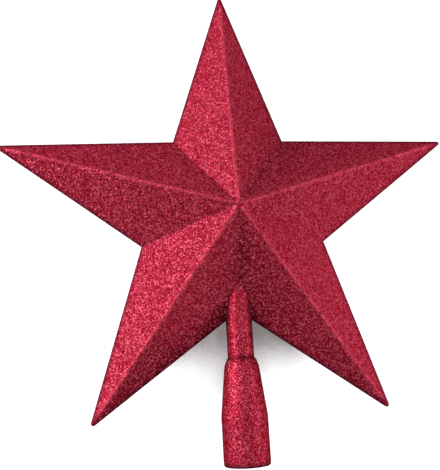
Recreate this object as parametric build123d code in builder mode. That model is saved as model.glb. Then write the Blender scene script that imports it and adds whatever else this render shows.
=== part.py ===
from build123d import *
import os
from math import atan2, cos, pi, sin

# Tree topper star: two hollow star-shaped half shells, cemented together at a flat
# mating plane, whose split neck is pushed into a flared sleeve. The sleeve slips over
# the leading shoot of a tree. The star faces -Y, +Z is up, and the origin is the centre
# of the sleeve's mouth. All lengths are in millimetres.

# Star
arm_count = 5
tip_radius = 107.0
notch_radius = 42.0
half_depth = 20.0
edge_land = 0.4
tip_rounding = 1.0
ridge_rounding = 0.8
apex_flat_radius = 1.6
shell_wall = 1.3

# Split neck
neck_radius = 5.6
neck_wall = 1.2
neck_length = 19.5
spigot_length = 14.0
spigot_chamfer = 0.5

# Locating posts inside the arms, with pegs on the back half and sockets in the front half
post_distance = 50.0
post_radius = 2.6
peg_radius = 1.2
peg_length = 3.0
peg_chamfer = 0.3
socket_end_gap = 0.4

# Flared sleeve
sleeve_wall = 1.4
skirt_radius = 9.65
skirt_length = 19.5
flare_length = 20.0
flare_rounding = 8.0
collar_radius = 7.25
shoulder_height = 3.2
shoulder_rounding = 1.2
lip_width = 0.3
seat_thickness = 1.2
rim_chamfer = 0.5

# Radial play of the spigot in the sleeve and of the pegs in their sockets
fit_clearance = 0.05

# Heights above the sleeve's mouth
flare_top = skirt_length + flare_length
sleeve_height = flare_top + shoulder_height
seat_height = sleeve_height - spigot_length
centre_height = sleeve_height + neck_length + notch_radius

# Radii that follow from a wall or a fit
neck_bore_radius = neck_radius - neck_wall
spigot_seat_radius = neck_radius + fit_clearance
skirt_bore_radius = skirt_radius - sleeve_wall
socket_radius = peg_radius + fit_clearance

# Every facet of a half has the same slope, so the cavity is the star sunk by its wall
half_arm_angle = pi / arm_count
tip_angle = atan2(
    notch_radius * sin(half_arm_angle),
    tip_radius - notch_radius * cos(half_arm_angle),
)
facet_distance = tip_radius * sin(tip_angle)
facet_height = half_depth - edge_land
facet_slope = atan2(facet_height, facet_distance)
wall_drop = shell_wall / cos(facet_slope)
cavity_radius = tip_radius * (1 + (edge_land - wall_drop) / facet_height)
flat_height = edge_land + facet_height * (1 - apex_flat_radius / tip_radius)

# The two halves look outwards from the mating plane, and both have +Z as their up
centre = (0, 0, centre_height)
front_plane = Plane(origin=centre, x_dir=(1, 0, 0), z_dir=(0, -1, 0))
back_plane = Plane(origin=centre, x_dir=(-1, 0, 0), z_dir=(0, 1, 0))
first_arm_angle = 90

# The neck runs from its spigot's end up into the middle of the star
spigot_plane = Plane.XY.offset(seat_height)
neck_reach = centre_height - seat_height


def make_arm(reach, land, height):
    """One arm of a half star along +X: a kite with a rounded point, cut to its two facets."""
    notch_reach = notch_radius * reach / tip_radius
    notch_x = notch_reach * cos(half_arm_angle)
    notch_y = notch_reach * sin(half_arm_angle)
    with BuildPart() as arm:
        with BuildSketch():
            kite = Polygon((0, 0), (notch_x, -notch_y), (reach, 0), (notch_x, notch_y), align=None)
            fillet(kite.vertices().sort_by(Axis.X)[-1], tip_rounding)
        extrude(amount=height)
        for side in (-1, 1):
            out = (
                sin(tip_angle) * sin(facet_slope),
                side * cos(tip_angle) * sin(facet_slope),
                cos(facet_slope),
            )
            split(bisect_by=Plane(origin=(reach, 0, land), z_dir=out), keep=Keep.BOTTOM)
    return arm.part


def make_rounded_arm():
    """An arm of the outside, with its ridge rounded."""
    with BuildPart() as arm:
        add(make_arm(tip_radius, edge_land, flat_height))
        fillet(edges().sort_by(SortBy.LENGTH)[-1], ridge_rounding)
    return arm.part


def make_cavity(outward):
    """Hollow of one half: the star sunk by its wall, less the posts, with the neck's bore."""
    arm = make_arm(cavity_radius, 0, flat_height - wall_drop)
    with BuildPart() as cavity:
        with Locations(outward):
            with PolarLocations(0, arm_count, first_arm_angle):
                add(arm)
        with BuildSketch(outward):
            post_circles(post_radius)
        extrude(amount=half_depth, mode=Mode.SUBTRACT)
        with BuildSketch(spigot_plane):
            Circle(neck_bore_radius)
        extrude(amount=neck_reach)
    return cavity.part


def make_half(outward):
    """Half shell: arms and half a neck round the cavity, cut at the mating plane."""
    arm = make_rounded_arm()
    cavity = make_cavity(outward)
    with BuildPart() as half:
        with Locations(outward):
            with PolarLocations(0, arm_count, first_arm_angle):
                add(arm)
        with BuildSketch(spigot_plane):
            Circle(neck_radius)
        extrude(amount=neck_reach)
        spigot_edges = edges().filter_by_position(Axis.Z, seat_height, seat_height)
        chamfer(spigot_edges, spigot_chamfer)
        add(cavity, mode=Mode.SUBTRACT)
        split(bisect_by=outward, keep=Keep.TOP)
    return half.part


def post_circles(radius):
    """One circle on the middle line of each arm, in the current sketch."""
    with PolarLocations(post_distance, arm_count, first_arm_angle):
        Circle(radius)


os.makedirs("parts", exist_ok=True)

# Front half shell, with a blind socket in each post
front_half = make_half(front_plane)
with BuildPart() as front_shell:
    add(front_half)
    with BuildSketch(front_plane):
        post_circles(socket_radius)
    extrude(amount=peg_length + socket_end_gap, mode=Mode.SUBTRACT)
front_shell.part.label = "front_shell"
export_step(front_shell.part, "parts/front_shell.step")

# Back half shell, with a peg on each post that stands across the mating plane
back_half = make_half(back_plane)
with BuildPart() as back_shell:
    add(back_half)
    with BuildSketch(front_plane):
        post_circles(peg_radius)
    extrude(amount=peg_length)
    peg_ends = faces().sort_by(Axis.Y)[:arm_count]
    chamfer(peg_ends.edges(), peg_chamfer)
back_shell.part.label = "back_shell"
export_step(back_shell.part, "parts/back_shell.step")

# Flared sleeve: straight skirt, cone and rounded shoulder outside; inside, the skirt's
# bore, a cone of even wall and a seat that the neck's spigot stands on
flare_taper = (skirt_radius - collar_radius) / flare_length
seat_underside = seat_height - seat_thickness
funnel_top_radius = skirt_bore_radius - (seat_underside - skirt_length) * flare_taper
with BuildPart() as sleeve:
    with BuildSketch(Plane.XZ):
        with BuildLine():
            outside = FilletPolyline(
                (skirt_radius, rim_chamfer),
                (skirt_radius, skirt_length),
                (collar_radius, flare_top),
                (spigot_seat_radius + lip_width, sleeve_height),
                radius=(flare_rounding, shoulder_rounding),
            )
            Polyline(
                outside @ 1,
                (spigot_seat_radius, sleeve_height),
                (spigot_seat_radius, seat_height),
                (neck_bore_radius, seat_height),
                (neck_bore_radius, seat_underside),
                (funnel_top_radius, seat_underside),
                (skirt_bore_radius, skirt_length),
                (skirt_bore_radius, 0),
                (skirt_radius - rim_chamfer, 0),
                outside @ 0,
            )
        make_face()
    revolve(axis=Axis.Z)
sleeve.part.label = "sleeve"
export_step(sleeve.part, "parts/sleeve.step")
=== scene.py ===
"""Looks of the glitter tree topper star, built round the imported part. Lengths are in metres.

The two half shells and the sleeve get a skin of small flat flakes that catch the light one by one,
as bonded glitter does. The star faces -Y, and the surface that it lies on in the photograph stands
behind it.
"""

import math

import bmesh
import bpy
import numpy as np
from mathutils import Matrix, Vector
from mathutils.geometry import delaunay_2d_cdt


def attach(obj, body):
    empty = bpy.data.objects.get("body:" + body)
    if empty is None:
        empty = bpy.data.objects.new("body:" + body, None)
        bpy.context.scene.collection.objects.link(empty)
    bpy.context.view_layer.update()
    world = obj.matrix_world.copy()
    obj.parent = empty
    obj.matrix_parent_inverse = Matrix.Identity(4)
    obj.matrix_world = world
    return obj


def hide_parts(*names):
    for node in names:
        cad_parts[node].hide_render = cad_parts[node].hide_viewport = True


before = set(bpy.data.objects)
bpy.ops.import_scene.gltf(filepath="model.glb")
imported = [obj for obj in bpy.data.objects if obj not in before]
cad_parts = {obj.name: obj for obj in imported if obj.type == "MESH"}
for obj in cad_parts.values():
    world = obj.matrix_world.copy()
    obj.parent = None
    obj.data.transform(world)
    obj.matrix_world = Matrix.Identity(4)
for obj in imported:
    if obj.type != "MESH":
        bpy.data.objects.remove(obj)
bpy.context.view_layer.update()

# Star, as in the part
ARM_COUNT = 5
TIP_RADIUS = 0.107
NOTCH_RADIUS = 0.042
HALF_DEPTH = 0.020
EDGE_LAND = 0.0004
TIP_ROUNDING = 0.001
APEX_FLAT_RADIUS = 0.0016
RIDGE_HALF_WIDTH = 0.00045

# Neck, as in the part
NECK_RADIUS = 0.0056
NECK_BORE_RADIUS = 0.0044
NECK_LENGTH = 0.0195
SPIGOT_LENGTH = 0.014
BORE_DEPTH = 0.045

# Sleeve, as in the part
SKIRT_RADIUS = 0.00965
SKIRT_BORE_RADIUS = 0.00825
SKIRT_LENGTH = 0.0195
FLARE_LENGTH = 0.020
FLARE_ROUNDING = 0.008
COLLAR_RADIUS = 0.00725
SHOULDER_HEIGHT = 0.0032
SHOULDER_ROUNDING = 0.0012
LIP_RADIUS = 0.00595
SPIGOT_SEAT_RADIUS = 0.00565
SEAT_THICKNESS = 0.0012
RIM_CHAMFER = 0.0005

# Heights above the sleeve's mouth
FLARE_TOP = SKIRT_LENGTH + FLARE_LENGTH
SLEEVE_TOP = FLARE_TOP + SHOULDER_HEIGHT
SEAT_HEIGHT = SLEEVE_TOP - SPIGOT_LENGTH
CENTRE_HEIGHT = SLEEVE_TOP + NECK_LENGTH + NOTCH_RADIUS

# Heights from the star's centre
SLEEVE_EDGE = SLEEVE_TOP - CENTRE_HEIGHT
SPIGOT_END = SEAT_HEIGHT - CENTRE_HEIGHT
BORE_TOP = SPIGOT_END + BORE_DEPTH

# Angles and slopes of the star that follow from its sizes
HALF_ARM_ANGLE = math.pi / ARM_COUNT
TIP_ANGLE = math.atan2(
    NOTCH_RADIUS * math.sin(HALF_ARM_ANGLE),
    TIP_RADIUS - NOTCH_RADIUS * math.cos(HALF_ARM_ANGLE),
)
NOTCH_ANGLE = HALF_ARM_ANGLE + TIP_ANGLE
FACET_DISTANCE = TIP_RADIUS * math.sin(TIP_ANGLE)
FACET_HEIGHT = HALF_DEPTH - EDGE_LAND
RIDGE_FALL = FACET_HEIGHT / FACET_DISTANCE * math.cos(TIP_ANGLE)
FLAT_HEIGHT = EDGE_LAND + FACET_HEIGHT * (1 - APEX_FLAT_RADIUS / TIP_RADIUS)

# Glitter coat: how large its flat faces are, how deep their corners lie and how far these are shaken
FLAKE_SIZE = 0.00055
COAT_DEPTH = 0.00012
RIM_RAGGEDNESS = 0.00012
FACET_SHAKE_SHARE = 0.32
SLEEVE_SHAKE_SHARE = 0.3
CREASE_CLEARANCE = 0.5 * FLAKE_SIZE
SEED = 11

# Meshing: points of the rounded corners, gap between the halves, and what counts as one point
TIP_ARC_SHARES = (-0.6, -0.2, 0.2, 0.6)
CORNER_STEPS = 6
SEAM_GAP = 0.00003
WELD_DISTANCE = 1e-6
SAME_POINT_DISTANCE = 1e-8
KEEP_INSIDE_OF_LOOP = 1

# Bands of the coat's tint, which is painted light: a painted highlight along the ridges, and painted shade
# at the rim, the joint and the mouth
RIDGE_HIGHLIGHT_BAND = 0.0010
RIM_SHADE_BAND = 0.0019
JOINT_SHADE_BAND = 0.0015
MOUTH_SHADE_BAND = 0.0024
RIM_SHADE = 0.8

# Colours and metal of the glitter's flakes
SPECK_SIZE = 0.0005
LIGHT_FLAKE = (0.43, 0.066, 0.099)
MIDDLE_FLAKE = (0.275, 0.013, 0.033)
DARK_FLAKE = (0.155, 0.0015, 0.006)
MIDDLE_FLAKE_SHARE = 0.4
# Colour of the painted highlight along the ridges
RIDGE_HIGHLIGHT_COLOUR = (0.60, 0.062, 0.10, 1)
# Colour of the painted shade at the rim, the joint and the mouth
PAINTED_SHADE_COLOUR = (0.05, 0.003, 0.012, 1)
MIRROR_METAL = 0.9
PLAIN_METAL = 0.05
COLOUR_MIDDLE = (0.5, 0.5, 0.5)

# Bare plastic
PLASTIC_DARK = (0.15, 0.005, 0.012, 1)
PLASTIC_LIGHT = (0.20, 0.008, 0.018, 1)
PLASTIC_MOTTLE_SCALE = 180
PLASTIC_ROUGHNESS = 0.5
PLASTIC_SPECULAR = 0.3

# Numbers of the materials on a piece
GLITTER, PLASTIC, NECK_GLITTER = 0, 1, 2


# Half star seen from outside: u to the right and v up from its centre, h out of its mating plane


def arm_coordinates(points):
    """Radius of each point, and its angle from the middle line of the arm that it lies on."""
    radius = np.hypot(points[:, 0], points[:, 1])
    angle = np.arctan2(points[:, 1], points[:, 0]) - math.pi / 2
    return radius, np.abs((angle + HALF_ARM_ANGLE) % (2 * HALF_ARM_ANGLE) - HALF_ARM_ANGLE)


def edge_distance(points):
    """How far each point lies inside the star's straight edges."""
    radius, angle = arm_coordinates(points)
    return FACET_DISTANCE - radius * np.sin(TIP_ANGLE + angle)


def star_height(points):
    """Height of the star's outside above its mating plane, with rounded ridges and a blunt apex."""
    radius, angle = arm_coordinates(points)
    facet = EDGE_LAND + edge_distance(points) / FACET_DISTANCE * FACET_HEIGHT
    from_ridge = np.minimum(radius * np.sin(angle), RIDGE_HALF_WIDTH)
    rounding = RIDGE_FALL * (RIDGE_HALF_WIDTH - from_ridge) ** 2 / (2 * RIDGE_HALF_WIDTH)
    return np.minimum(facet - rounding, FLAT_HEIGHT)


def polar(radius, angle):
    """u and v of a point at a radius and an angle."""
    return np.array([radius * math.cos(angle), radius * math.sin(angle)])


def arm_middle(arm):
    """Angle of an arm's middle line. The arms run anticlockwise from the lower right one."""
    return (2 * arm + 1) * HALF_ARM_ANGLE - math.pi / 2


def divide(start, end):
    """Points from start up to but not including end, about a flake apart."""
    count = max(1, round(float(np.linalg.norm(end - start)) / FLAKE_SIZE))
    return start + (end - start) * (np.arange(count) / count)[:, None]


def star_edge():
    """Outline of the star from the neck's right side, anticlockwise, to the neck's left side."""
    neck_corner = np.array([NECK_RADIUS, -NOTCH_RADIUS - NECK_RADIUS / math.tan(NOTCH_ANGLE)])
    tangent = TIP_ROUNDING / math.tan(TIP_ANGLE)
    half_turn = math.pi / 2 - TIP_ANGLE
    pieces = []
    start = neck_corner
    for arm in range(ARM_COUNT):
        middle = arm_middle(arm)
        tip = polar(TIP_RADIUS, middle)
        last = arm == ARM_COUNT - 1
        end = neck_corner * (-1, 1) if last else polar(NOTCH_RADIUS, middle + HALF_ARM_ANGLE)
        before = tip + (start - tip) / np.linalg.norm(start - tip) * tangent
        after = tip + (end - tip) / np.linalg.norm(end - tip) * tangent
        centre = tip - polar(TIP_ROUNDING / math.sin(TIP_ANGLE), middle)
        arc = [centre + polar(TIP_ROUNDING, middle + half_turn * share) for share in TIP_ARC_SHARES]
        pieces += [divide(start, before), before[None], arc, divide(after, end)]
        start = end
    return np.vstack([*pieces, start[None]])


def neck_angles():
    """Angles round the half neck, from its left side to its right side."""
    count = round(math.pi * NECK_RADIUS / FLAKE_SIZE)
    return np.linspace(-math.pi / 2, math.pi / 2, count + 1)


def arch_height(angles):
    """v of the arch in which the round neck meets the two facets beside it."""
    out = NECK_RADIUS * np.cos(angles)
    across = np.abs(NECK_RADIUS * np.sin(angles))
    distance = FACET_DISTANCE * (1 - np.maximum(out - EDGE_LAND, 0) / FACET_HEIGHT)
    return -(distance + across * math.cos(NOTCH_ANGLE)) / math.sin(NOTCH_ANGLE)


def creases():
    """Lines that flakes don't cross: each ridge, the two sides of its rounding, and each valley."""
    ridge_end = TIP_RADIUS - TIP_ROUNDING / math.sin(TIP_ANGLE)
    side_end = TIP_RADIUS - (RIDGE_HALF_WIDTH + FLAKE_SIZE) / math.tan(TIP_ANGLE) - TIP_ROUNDING
    offsets_and_ends = ((0, ridge_end), (-RIDGE_HALF_WIDTH, side_end), (RIDGE_HALF_WIDTH, side_end))
    lines = []
    for arm in range(ARM_COUNT):
        middle = arm_middle(arm)
        along, across = polar(1, middle), polar(1, middle + math.pi / 2)
        for offset, end in offsets_and_ends:
            start = APEX_FLAT_RADIUS + abs(offset)
            aside = across * offset
            lines.append(divide(along * start + aside, along * end + aside))
        if arm < ARM_COUNT - 1:
            valley = polar(1, middle + HALF_ARM_ANGLE)
            lines.append(divide(valley * APEX_FLAT_RADIUS, valley * (NOTCH_RADIUS - FLAKE_SIZE)))
    top_of_arch = float(arch_height(np.zeros(1))[0])
    lines.append(divide(np.array([0, -APEX_FLAT_RADIUS]), np.array([0, FLAKE_SIZE + top_of_arch])))
    return lines


def scatter(low, high, rng):
    """Points about a flake apart over a rectangle, in rows that are shifted and shaken."""
    row_step = FLAKE_SIZE * math.sqrt(3) / 2
    along, up = np.arange(low[0], high[0], FLAKE_SIZE), np.arange(low[1], high[1], row_step)
    u, v = np.meshgrid(along, up)
    u = u + (np.arange(len(u)) % 2 * FLAKE_SIZE / 2)[:, None]
    shake = rng.uniform(-FACET_SHAKE_SHARE, FACET_SHAKE_SHARE, (u.size, 2)) * FLAKE_SIZE
    return np.column_stack([u.ravel(), v.ravel()]) + shake


def star_inside(rng):
    """Scattered points of the star's facets, clear of its creases, its edge and the neck."""
    points = scatter((-TIP_RADIUS, -TIP_RADIUS), (TIP_RADIUS, TIP_RADIUS), rng)
    radius, angle = arm_coordinates(points)
    from_ridge = radius * np.sin(angle)
    from_valley = radius * np.sin(HALF_ARM_ANGLE - angle)
    tip_end = TIP_RADIUS - TIP_ROUNDING * (1 / math.sin(TIP_ANGLE) - 1)
    keep = (edge_distance(points) > CREASE_CLEARANCE) & (from_valley > CREASE_CLEARANCE)
    keep &= (radius > APEX_FLAT_RADIUS) & (radius < tip_end - 2 * CREASE_CLEARANCE)
    keep &= from_ridge - RIDGE_HALF_WIDTH > CREASE_CLEARANCE
    turn = np.arcsin(np.clip(points[:, 0] / NECK_RADIUS, -1, 1))
    on_neck = np.abs(points[:, 0]) < NECK_RADIUS + CREASE_CLEARANCE
    on_neck &= points[:, 1] < arch_height(turn) + CREASE_CLEARANCE
    return points[keep & ~on_neck]


def triangulate(loop, lines, inside):
    """Triangles of the region in a loop, through all given points, with the lines among their edges."""
    points = np.vstack([loop, *lines, inside])
    edges = []
    first = len(loop)
    for line in lines:
        edges += [(first + k, first + k + 1) for k in range(len(line) - 1)]
        first += len(line)
    corners, _, triangles, sources, _, _ = delaunay_2d_cdt(
        [Vector(point) for point in points],
        edges,
        [list(range(len(loop)))],
        KEEP_INSIDE_OF_LOOP,
        SAME_POINT_DISTANCE,
    )
    if len(corners) != len(points):
        raise ValueError("the triangulation merged or added points")
    given = np.array([numbers[0] for numbers in sources])
    return points, given[np.array(triangles)]


def strip(first, second):
    """Faces between two rows of corners of equal length, given by their numbers."""
    return [(first[k], first[k + 1], second[k + 1], second[k]) for k in range(len(first) - 1)]


class Patches:
    """Corner places and faces of one piece, gathered patch by patch and welded where patches meet."""

    def __init__(self):
        self.places, self.tints, self.faces, self.kinds, self.count = [], [], [], [], 0

    def add(self, places, faces, kinds, tint=None):
        """Adds a patch, with one material for all its faces or a list with one for each."""
        self.places.append(np.asarray(places, float))
        self.tints.append(np.zeros(len(places)) if tint is None else tint)
        self.faces += [[self.count + int(k) for k in face] for face in faces]
        self.kinds += kinds if isinstance(kinds, list) else [kinds] * len(faces)
        self.count += len(places)

    def make(self, name, materials):
        """Makes the piece's object."""
        mesh = bpy.data.meshes.new(name)
        mesh.from_pydata(np.vstack(self.places).tolist(), [], self.faces)
        for material in materials:
            mesh.materials.append(material)
        mesh.polygons.foreach_set("material_index", self.kinds)
        # Painted highlight above 0 and painted shade below 0, for each corner
        tint = mesh.attributes.new("tint", "FLOAT", "POINT")
        tint.data.foreach_set("value", np.concatenate(self.tints))
        welded = bmesh.new()
        welded.from_mesh(mesh)
        bmesh.ops.remove_doubles(welded, verts=welded.verts, dist=WELD_DISTANCE)
        bmesh.ops.recalc_face_normals(welded, faces=welded.faces)
        welded.to_mesh(mesh)
        welded.free()
        piece = bpy.data.objects.new(name, mesh)
        bpy.context.scene.collection.objects.link(piece)
        return piece


class HalfStar(Patches):
    """Patches of a half star, which faces +Y where outward is 1 and -Y where it is -1."""

    def __init__(self, outward):
        super().__init__()
        self.outward = outward

    def put(self, points, heights, faces, kind, tint=None):
        """Adds a patch whose points are given by u and v, and their heights by h."""
        u, v = points.T
        places = np.column_stack([-self.outward * u, self.outward * heights, CENTRE_HEIGHT + v])
        self.add(places, faces, kind, tint)


def add_facets(half, rng):
    """Glitter facets of a half star. Gives the corners of their rim, and the heights of these."""
    edge = star_edge()
    angles = neck_angles()[1:-1]
    arch = np.column_stack([NECK_RADIUS * np.sin(angles), arch_height(angles)])
    loop = np.vstack([edge, arch])
    points, faces = triangulate(loop, creases(), star_inside(rng))
    heights = star_height(points)
    heights[len(loop):] -= COAT_DEPTH * rng.random(len(points) - len(loop))
    heights[len(edge):len(loop)] = NECK_RADIUS * np.cos(angles)
    heights[[0, len(edge) - 1]] = SEAM_GAP
    ragged = points.copy()
    drawn_in = RIM_RAGGEDNESS * rng.random(len(edge) - 2) / np.linalg.norm(edge[1:-1], axis=1)
    ragged[1:len(edge) - 1] *= 1 - drawn_in[:, None]
    # The coat's tint: a painted highlight along the ridges, and painted shade along the rim
    radius, angle = arm_coordinates(points)
    painted_ridge_highlight = np.clip(1 - radius * np.sin(angle) / RIDGE_HIGHLIGHT_BAND, 0, 1)
    painted_rim_shade = np.clip(1 - edge_distance(points) / RIM_SHADE_BAND, 0, 1)
    tint = np.where(painted_rim_shade > 0, -RIM_SHADE * painted_rim_shade, painted_ridge_highlight)
    tint[:len(edge)] = -RIM_SHADE
    half.put(ragged, heights, faces, GLITTER, tint)
    return ragged[:len(edge)], heights[:len(edge)]


def add_rim(half, rim, heights):
    """Straight edge between the facets and the mating plane."""
    count = len(rim)
    levels = np.concatenate([heights, np.full(count, SEAM_GAP)])
    faces = strip(range(count), range(count, 2 * count))
    # The whole straight edge carries the rim's painted shade
    half.put(np.vstack([rim, rim]), levels, faces, GLITTER, np.full(2 * count, -RIM_SHADE))


def add_neck(half, rng):
    """Glitter neck from the facets down to the sleeve. Gives v of the corners between them at its side."""
    angles = neck_angles()
    around, arch = NECK_RADIUS * angles, arch_height(angles)
    reach = around[-1]
    side = divide(np.array([reach, SLEEVE_EDGE]), np.array([reach, arch[-1]]))
    bottom = np.column_stack([around, np.full(len(around), SLEEVE_EDGE)])
    top = np.column_stack([around, arch])[::-1]
    loop = np.vstack([bottom, side[1:], top, side[:0:-1] * (-1, 1)])
    inside = scatter((around[0], SLEEVE_EDGE), (reach, float(arch.max())), rng)
    u, v = inside.T
    keep = (v > SLEEVE_EDGE + CREASE_CLEARANCE) & (np.abs(u) < reach - CREASE_CLEARANCE)
    keep &= v < arch_height(u / NECK_RADIUS) - CREASE_CLEARANCE
    inside = inside[keep]
    points, faces = triangulate(loop, [], inside)
    radii = np.full(len(points), NECK_RADIUS)
    radii[len(loop):] -= COAT_DEPTH * rng.random(len(inside))
    turn, v = points[:, 0] / NECK_RADIUS, points[:, 1]
    heights = np.maximum(radii * np.cos(turn), SEAM_GAP)
    # Painted shade at the neck's foot, where it meets the sleeve
    tint = -np.clip(1 - (v - SLEEVE_EDGE) / JOINT_SHADE_BAND, 0, 1)
    half.put(np.column_stack([radii * np.sin(turn), v]), heights, faces, NECK_GLITTER, tint)
    return side[1:, 1]


def add_spigot(half):
    """Bare spigot below the neck, its end and the bore."""
    rows = (
        (NECK_RADIUS, SLEEVE_EDGE),
        (NECK_RADIUS, SPIGOT_END),
        (NECK_BORE_RADIUS, SPIGOT_END),
        (NECK_BORE_RADIUS, BORE_TOP),
        (0, BORE_TOP),
    )
    angles = neck_angles()
    columns = len(angles)
    points, heights, faces = [], [], []
    for number, (radius, v) in enumerate(rows):
        points.append(np.column_stack([radius * np.sin(angles), np.full(columns, v)]))
        heights.append(np.maximum(radius * np.cos(angles), SEAM_GAP))
        if number > 0:
            first = number * columns
            faces += strip(range(first - columns, first), range(first, first + columns))
    half.put(np.vstack(points), np.concatenate(heights), faces, PLASTIC)


def add_mating_face(half, rim, side):
    """Flat mating face, inside the rim and round the bore."""
    down = [*side[::-1], SLEEVE_EDGE, SPIGOT_END]
    left = np.column_stack([np.full(len(down), -NECK_RADIUS), down])
    bore = (
        (-NECK_BORE_RADIUS, SPIGOT_END),
        (-NECK_BORE_RADIUS, BORE_TOP),
        (0, BORE_TOP),
        (NECK_BORE_RADIUS, BORE_TOP),
        (NECK_BORE_RADIUS, SPIGOT_END),
    )
    right = left[::-1] * (-1, 1)
    points, faces = triangulate(np.vstack([rim, left, bore, right]), [], np.zeros((0, 2)))
    half.put(points, np.full(len(points), SEAM_GAP), faces, PLASTIC)


def make_half(name, outward, materials, rng):
    """One half of the star: glitter facets and neck, a bare spigot with its bore, and a mating face."""
    half = HalfStar(outward)
    rim, heights = add_facets(half, rng)
    add_rim(half, rim, heights)
    side = add_neck(half, rng)
    add_spigot(half)
    add_mating_face(half, rim, side)
    return half.make(name, materials)


# Sleeve


def rounded(points, radii):
    """A line through points, with its inner corners rounded as far as arcs of these radii would reach."""
    line = [np.array(points[0], float)]
    for k, radius in enumerate(radii):
        before, corner, after = (np.array(point, float) for point in points[k:k + 3])
        into = (corner - before) / np.linalg.norm(corner - before)
        out = (after - corner) / np.linalg.norm(after - corner)
        turn = math.acos(float(np.clip(into @ out, -1, 1)))
        reach = radius * math.tan(turn / 2)
        for share in np.linspace(0, 1, CORNER_STEPS):
            line.append(corner - into * reach * (1 - share) ** 2 + out * reach * share ** 2)
    line.append(np.array(points[-1], float))
    return np.array(line)


def resample(line, spacing):
    """The same line with points about spacing apart."""
    steps = np.concatenate([[0], np.cumsum(np.linalg.norm(np.diff(line, axis=0), axis=1))])
    wanted = np.linspace(0, steps[-1], round(steps[-1] / spacing) + 1)
    return np.column_stack([np.interp(wanted, steps, line[:, axis]) for axis in (0, 1)])


def sleeve_outside():
    """Radius and height of each row of flakes, from the sleeve's mouth up to the spigot's socket."""
    corners = (
        (SKIRT_RADIUS - RIM_CHAMFER, 0),
        (SKIRT_RADIUS, RIM_CHAMFER),
        (SKIRT_RADIUS, SKIRT_LENGTH),
        (COLLAR_RADIUS, FLARE_TOP),
        (LIP_RADIUS, SLEEVE_TOP),
        (SPIGOT_SEAT_RADIUS, SLEEVE_TOP),
    )
    roundings = (RIM_CHAMFER, FLARE_ROUNDING, SHOULDER_ROUNDING, RIM_CHAMFER / 2)
    return resample(rounded(corners, roundings), FLAKE_SIZE)


def sleeve_inside():
    """Radius and height of each corner of the bare inside, from the spigot's seat down to the mouth."""
    taper = (SKIRT_RADIUS - COLLAR_RADIUS) / FLARE_LENGTH
    underside = SEAT_HEIGHT - SEAT_THICKNESS
    funnel_radius = SKIRT_BORE_RADIUS - (underside - SKIRT_LENGTH) * taper
    return np.array(
        [
            (SPIGOT_SEAT_RADIUS, SEAT_HEIGHT),
            (NECK_BORE_RADIUS, SEAT_HEIGHT),
            (NECK_BORE_RADIUS, underside),
            (funnel_radius, underside),
            (SKIRT_BORE_RADIUS, SKIRT_LENGTH),
            (SKIRT_BORE_RADIUS, 0),
        ]
    )


def make_sleeve(name, materials, rng):
    """The flared sleeve: glitter outside, bare plastic inside."""
    outer_rows, inner_rows = sleeve_outside(), sleeve_inside()
    rows = np.vstack([outer_rows, inner_rows])
    last_outer = len(outer_rows) - 1
    columns = round(2 * math.pi * SKIRT_RADIUS / FLAKE_SIZE)
    places, faces, kinds = [], [], []

    # Rings of corners
    for number, (radius, height) in enumerate(rows):
        shift = number % 2 / 2 if number <= last_outer else 0
        turn = (np.arange(columns) + shift) / columns * 2 * math.pi
        radii, heights = np.full(columns, radius), np.full(columns, height)
        if 0 < number < last_outer:
            sideways = rng.uniform(-SLEEVE_SHAKE_SHARE, SLEEVE_SHAKE_SHARE, columns)
            upwards = rng.uniform(-SLEEVE_SHAKE_SHARE, SLEEVE_SHAKE_SHARE, columns)
            turn = turn + sideways / columns * 2 * math.pi
            if 1 < number < last_outer - 1:
                heights = heights + upwards * FLAKE_SIZE
            radii = radii - COAT_DEPTH * rng.random(columns)
        places.append(np.column_stack([radii * np.cos(turn), radii * np.sin(turn), heights]))

    # Faces between each ring and the next, and from the last ring to the first
    for number in range(len(rows)):
        here, there = number * columns, (number + 1) % len(rows) * columns
        for k in range(columns):
            following = (k + 1) % columns
            a, b = here + k, here + following
            c, d = there + following, there + k
            if number >= last_outer:
                faces.append((a, b, c, d))
                kinds.append(PLASTIC)
            else:
                faces += [(a, b, c), (a, c, d)] if number % 2 else [(a, b, d), (b, c, d)]
                kinds += [GLITTER, GLITTER]

    # Painted shade at the mouth, and at the top where the sleeve meets the neck
    from_mouth = np.arange(len(outer_rows)) * FLAKE_SIZE
    from_ends = np.minimum(from_mouth / MOUTH_SHADE_BAND, from_mouth[::-1] / JOINT_SHADE_BAND)
    tint = np.concatenate([-np.clip(1 - from_ends, 0, 1), np.zeros(len(inner_rows))])
    sleeve = Patches()
    sleeve.add(np.vstack(places), faces, kinds, np.repeat(tint, columns))
    return sleeve.make(name, materials)


# Materials


def set_inputs(tree, node, inputs):
    """Sets each input to a constant, or links it from another node's socket."""
    for name, value in inputs.items():
        if isinstance(value, bpy.types.NodeSocket):
            tree.links.new(value, node.inputs[name])
        else:
            node.inputs[name].default_value = value


def add_node(tree, kind, inputs=None, **settings):
    """A new node with its settings and inputs."""
    node = tree.nodes.new(kind)
    for name, value in settings.items():
        setattr(node, name, value)
    set_inputs(tree, node, inputs or {})
    return node


def add_ramp(tree, factor, stops, interpolation="LINEAR"):
    """A colour ramp, with each of its stops as a place and a colour, the lowest first."""
    node = add_node(tree, "ShaderNodeValToRGB", {"Fac": factor})
    node.color_ramp.interpolation = interpolation
    elements = node.color_ramp.elements
    for position, _ in stops[1:-1]:
        elements.new(position)
    for element, (position, colour) in zip(elements, stops):
        element.position = position
        element.color = colour
    return node.outputs["Color"]


def add_mix(tree, factor, first, second):
    """A mix of two colours."""
    inputs = {"Factor": factor, "A": first, "B": second}
    return add_node(tree, "ShaderNodeMix", inputs, data_type="RGBA").outputs["Result"]


def add_math(tree, operation, first, second):
    """The result of an operation on two numbers."""
    return add_node(tree, "ShaderNodeMath", {0: first, 1: second}, operation=operation).outputs["Value"]


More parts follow.
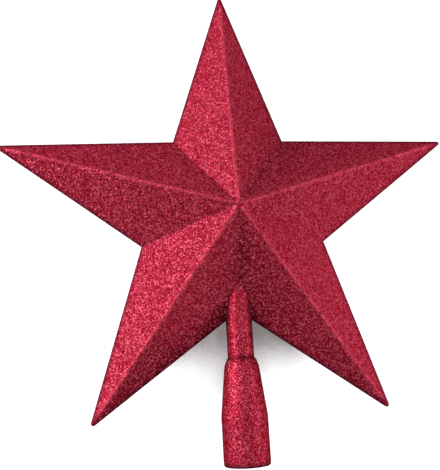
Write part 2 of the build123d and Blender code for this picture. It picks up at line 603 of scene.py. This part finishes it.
def add_vector_math(tree, operation, *vectors):
    """A node with an operation on one or more vectors."""
    return add_node(tree, "ShaderNodeVectorMath", dict(enumerate(vectors)), operation=operation)


def new_material(name):
    """A material, with its node tree and its shader."""
    material = bpy.data.materials.new(name)
    material.use_nodes = True
    return material, material.node_tree, material.node_tree.nodes["Principled BSDF"]


def grey(level):
    """A colour with all its parts at one level."""
    return (level, level, level, 1)


def flake_colour(tree, flakes, chance, gain):
    """Shade of each flake, with a painted highlight where the coat's tint is above 0 and painted shade
    where it is below.
    """
    colours = [(*(gain * part for part in flake), 1) for flake in (LIGHT_FLAKE, MIDDLE_FLAKE, DARK_FLAKE)]
    shade = add_ramp(tree, chance, list(zip((0, MIDDLE_FLAKE_SHARE, 1), colours)))
    tint = add_node(tree, "ShaderNodeAttribute", attribute_name="tint").outputs["Fac"]
    split = add_node(tree, "ShaderNodeSeparateColor", {"Color": flakes.outputs["Color"]})
    painted_highlight = add_math(tree, "MULTIPLY", tint, split.outputs["Green"])
    # Flakes along the ridges lightened as a painted highlight
    with_painted_highlight = add_mix(tree, painted_highlight, shade, RIDGE_HIGHLIGHT_COLOUR)
    # How much painted shade darkens each flake
    below = add_math(tree, "MULTIPLY", tint, -1)
    return add_mix(tree, below, with_painted_highlight, PAINTED_SHADE_COLOUR)


def flake_normal(tree, flakes, flake_tilt):
    """The surface's normal, tilted for each flake by the flake's own random colour."""
    middle = add_vector_math(tree, "SUBTRACT", flakes.outputs["Color"], COLOUR_MIDDLE)
    facing = add_node(tree, "ShaderNodeNewGeometry").outputs["Normal"]
    tilt = (flake_tilt, flake_tilt, flake_tilt)
    tilted = add_vector_math(tree, "MULTIPLY_ADD", middle.outputs["Vector"], tilt, facing)
    return add_vector_math(tree, "NORMALIZE", tilted.outputs["Vector"]).outputs["Vector"]


def glitter_material(name, mirror_share, flake_tilt, roughness, edge_tint, gain):
    """Red glitter: each flake has a shade and a tilt of its own, and the lightest share are mirrors."""
    material, tree, shader = new_material(name)
    where = add_node(tree, "ShaderNodeTexCoord").outputs["Object"]
    flakes = add_node(tree, "ShaderNodeTexVoronoi", {"Vector": where, "Scale": 1 / SPECK_SIZE})
    noise = add_node(tree, "ShaderNodeTexWhiteNoise", {"Vector": flakes.outputs["Position"]})
    chance = noise.outputs["Value"]
    metals = [(0, grey(MIRROR_METAL)), (mirror_share, grey(PLAIN_METAL))]
    inputs = {
        "Base Color": flake_colour(tree, flakes, chance, gain),
        "Metallic": add_ramp(tree, chance, metals, "CONSTANT"),
        "Normal": flake_normal(tree, flakes, flake_tilt),
        "Roughness": roughness,
        "Specular IOR Level": 0,
        "Specular Tint": edge_tint,
    }
    set_inputs(tree, shader, inputs)
    return material


def plastic_material():
    """Bare red plastic inside the sleeve and on the spigot."""
    material, tree, shader = new_material("red_plastic")
    where = add_node(tree, "ShaderNodeTexCoord").outputs["Object"]
    noise = add_node(tree, "ShaderNodeTexNoise", {"Vector": where, "Scale": PLASTIC_MOTTLE_SCALE})
    inputs = {
        "Base Color": add_ramp(tree, noise.outputs["Fac"], [(0, PLASTIC_DARK), (1, PLASTIC_LIGHT)]),
        "Roughness": PLASTIC_ROUGHNESS,
        "Specular IOR Level": PLASTIC_SPECULAR,
    }
    set_inputs(tree, shader, inputs)
    return material


def make_object():
    """The three pieces, each on its body."""
    star_glitter = glitter_material(
        "star_glitter",
        mirror_share=0.24,
        flake_tilt=0.5,
        roughness=0.5,
        edge_tint=(0.6, 0.2, 0.25, 1),
        gain=0.93,
    )
    stem_glitter = glitter_material(
        "stem_glitter",
        mirror_share=1.0,
        flake_tilt=0.3,
        roughness=0.46,
        edge_tint=(0.02, 0.01, 0.02, 1),
        gain=1.04,
    )
    plastic = plastic_material()
    rng = np.random.default_rng(SEED)
    halves = (("front_half", -1, "front_shell"), ("back_half", 1, "back_shell"))
    for name, outward, node in halves:
        half = make_half(name, outward, [star_glitter, plastic, stem_glitter], rng)
        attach(half, "star")
        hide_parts(node)
    sleeve = make_sleeve("glitter_sleeve", [stem_glitter, plastic], rng)
    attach(sleeve, "sleeve")
    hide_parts("sleeve")


# Stage, light and camera

CAMERA_PLACE = Vector((-0.04306, -0.26870, 0.03817))
CAMERA_AIM = Vector((-0.00594, 0.0, 0.09552))
CAMERA_ROLL = math.radians(-3.258)
CAMERA_LENS = 48.92
CAMERA_NEAR = 0.01
BACKDROP_GAP = 0.0005
BACKDROP_SIZE = 1.2
BACKDROP_LEVEL = 0.3
STRAY_LIGHT = 0.03
LAMP_DISTANCE = 0.8

# Painted soft shadow on the backdrop, from occlusion, which fades out away from the notch above the neck
SHADOW_DISTANCE = 0.05
SHADOW_SAMPLES = 16
SHADOW_STOPS = ((0.40, grey(0.04)), (0.59, grey(1)))
SHADOW_FADE_START = 0.03
SHADOW_FADE_END = 0.05


def seen_directly(tree):
    """1 for what the camera sees, in a reflection or through a clear piece too, and 0 for stray light."""
    path = add_node(tree, "ShaderNodeLightPath").outputs
    reflected = add_math(tree, "MAXIMUM", path["Is Camera Ray"], path["Is Glossy Ray"])
    return add_math(tree, "MAXIMUM", reflected, path["Is Transmission Ray"])


def surface_material():
    """White surface with a painted soft shadow beside the neck, and clear from behind."""
    material, tree, shader = new_material("white_surface")
    tree.nodes.remove(shader)
    diffuse = add_node(tree, "ShaderNodeBsdfDiffuse", {"Color": grey(BACKDROP_LEVEL)})
    open_share = add_node(
        tree,
        "ShaderNodeAmbientOcclusion",
        {"Distance": SHADOW_DISTANCE},
        samples=SHADOW_SAMPLES,
    )
    shadow = add_ramp(tree, open_share.outputs["AO"], SHADOW_STOPS)
    where = add_node(tree, "ShaderNodeTexCoord").outputs["Object"]
    from_notch = add_vector_math(tree, "DISTANCE", where, (0, 0, -NOTCH_RADIUS))
    fade = add_node(
        tree,
        "ShaderNodeMapRange",
        {
            "Value": from_notch.outputs["Value"],
            "From Min": SHADOW_FADE_START,
            "From Max": SHADOW_FADE_END,
        },
        interpolation_type="SMOOTHSTEP",
    )
    # The backdrop's white, with the painted shadow mixed in near the notch
    colour = add_mix(tree, fade.outputs["Result"], shadow, grey(1))
    white = add_node(tree, "ShaderNodeEmission", {"Color": colour, "Strength": seen_directly(tree)})
    lit = add_node(tree, "ShaderNodeAddShader", {0: diffuse.outputs["BSDF"], 1: white.outputs["Emission"]})
    clear = add_node(tree, "ShaderNodeBsdfTransparent").outputs["BSDF"]
    behind = add_node(tree, "ShaderNodeNewGeometry").outputs["Backfacing"]
    one_sided = add_node(tree, "ShaderNodeMixShader", {"Fac": behind, 1: lit.outputs["Shader"], 2: clear})
    set_inputs(tree, tree.nodes["Material Output"], {"Surface": one_sided.outputs["Shader"]})
    return material


def make_backdrop():
    """The white surface that the star lies on, seen from its front alone."""
    half = BACKDROP_SIZE / 2
    mesh = bpy.data.meshes.new("backdrop")
    corners = [(-half, 0, -half), (half, 0, -half), (half, 0, half), (-half, 0, half)]
    mesh.from_pydata(corners, [], [(0, 1, 2, 3)])
    mesh.materials.append(surface_material())
    backdrop = bpy.data.objects.new("backdrop", mesh)
    backdrop.location = (0, HALF_DEPTH + BACKDROP_GAP, CENTRE_HEIGHT)
    backdrop.visible_shadow = False
    bpy.context.scene.collection.objects.link(backdrop)


def make_world():
    """White surroundings, which give little stray light themselves."""
    world = bpy.data.worlds.new("studio")
    bpy.context.scene.world = world
    world.use_nodes = True
    tree = world.node_tree
    levels = {"Value": seen_directly(tree), "To Min": STRAY_LIGHT, "To Max": 1}
    strength = add_node(tree, "ShaderNodeMapRange", levels).outputs["Result"]
    set_inputs(tree, tree.nodes["Background"], {"Color": grey(1), "Strength": strength})


def add_softbox(name, azimuth, off_axis, size, watts, mirrored=True):
    """A square lamp that faces the star, and that mirrors show unless mirrored is false.

    Its azimuth runs from the star's right to its top, and off_axis from the star's front, in degrees.
    """
    lamp = bpy.data.lights.new(name, "AREA")
    lamp.size = size
    lamp.energy = watts
    turn, tilt = math.radians(azimuth), math.radians(off_axis)
    away = Vector((math.sin(tilt) * math.cos(turn), -math.cos(tilt), math.sin(tilt) * math.sin(turn)))
    softbox = bpy.data.objects.new(name, lamp)
    softbox.location = Vector((0, 0, CENTRE_HEIGHT)) + away * LAMP_DISTANCE
    softbox.rotation_euler = away.to_track_quat("Z", "Y").to_euler()
    softbox.visible_glossy = mirrored
    bpy.context.scene.collection.objects.link(softbox)


def make_lights():
    """The lamps in front of the star and beside it, and two dim ones behind it."""
    add_softbox("key_left", azimuth=160, off_axis=64, size=0.30, watts=6.2)
    add_softbox("side_left", azimuth=164, off_axis=87, size=0.40, watts=16.4, mirrored=False)
    add_softbox("side_right", azimuth=-24, off_axis=86, size=0.35, watts=13.8, mirrored=False)
    add_softbox("high_right", azimuth=20, off_axis=85, size=0.40, watts=4.4, mirrored=False)
    add_softbox("glint_right", azimuth=-2, off_axis=50, size=0.25, watts=1.2)
    add_softbox("back_left", azimuth=160, off_axis=125, size=0.6, watts=3.0)
    add_softbox("back_right", azimuth=20, off_axis=120, size=0.6, watts=2.0)


def make_camera():
    """The photograph's view."""
    camera = bpy.data.objects.new("camera", bpy.data.cameras.new("camera"))
    camera.data.lens = CAMERA_LENS
    camera.data.clip_start = CAMERA_NEAR
    turn = (CAMERA_AIM - CAMERA_PLACE).to_track_quat("-Z", "Y").to_matrix().to_4x4()
    roll = Matrix.Rotation(CAMERA_ROLL, 4, "Z")
    camera.matrix_world = Matrix.Translation(CAMERA_PLACE) @ turn @ roll
    bpy.context.scene.collection.objects.link(camera)
    bpy.context.scene.camera = camera


make_object()
make_backdrop()
make_world()
make_lights()
make_camera()
bpy.context.scene.view_settings.view_transform = "Standard"
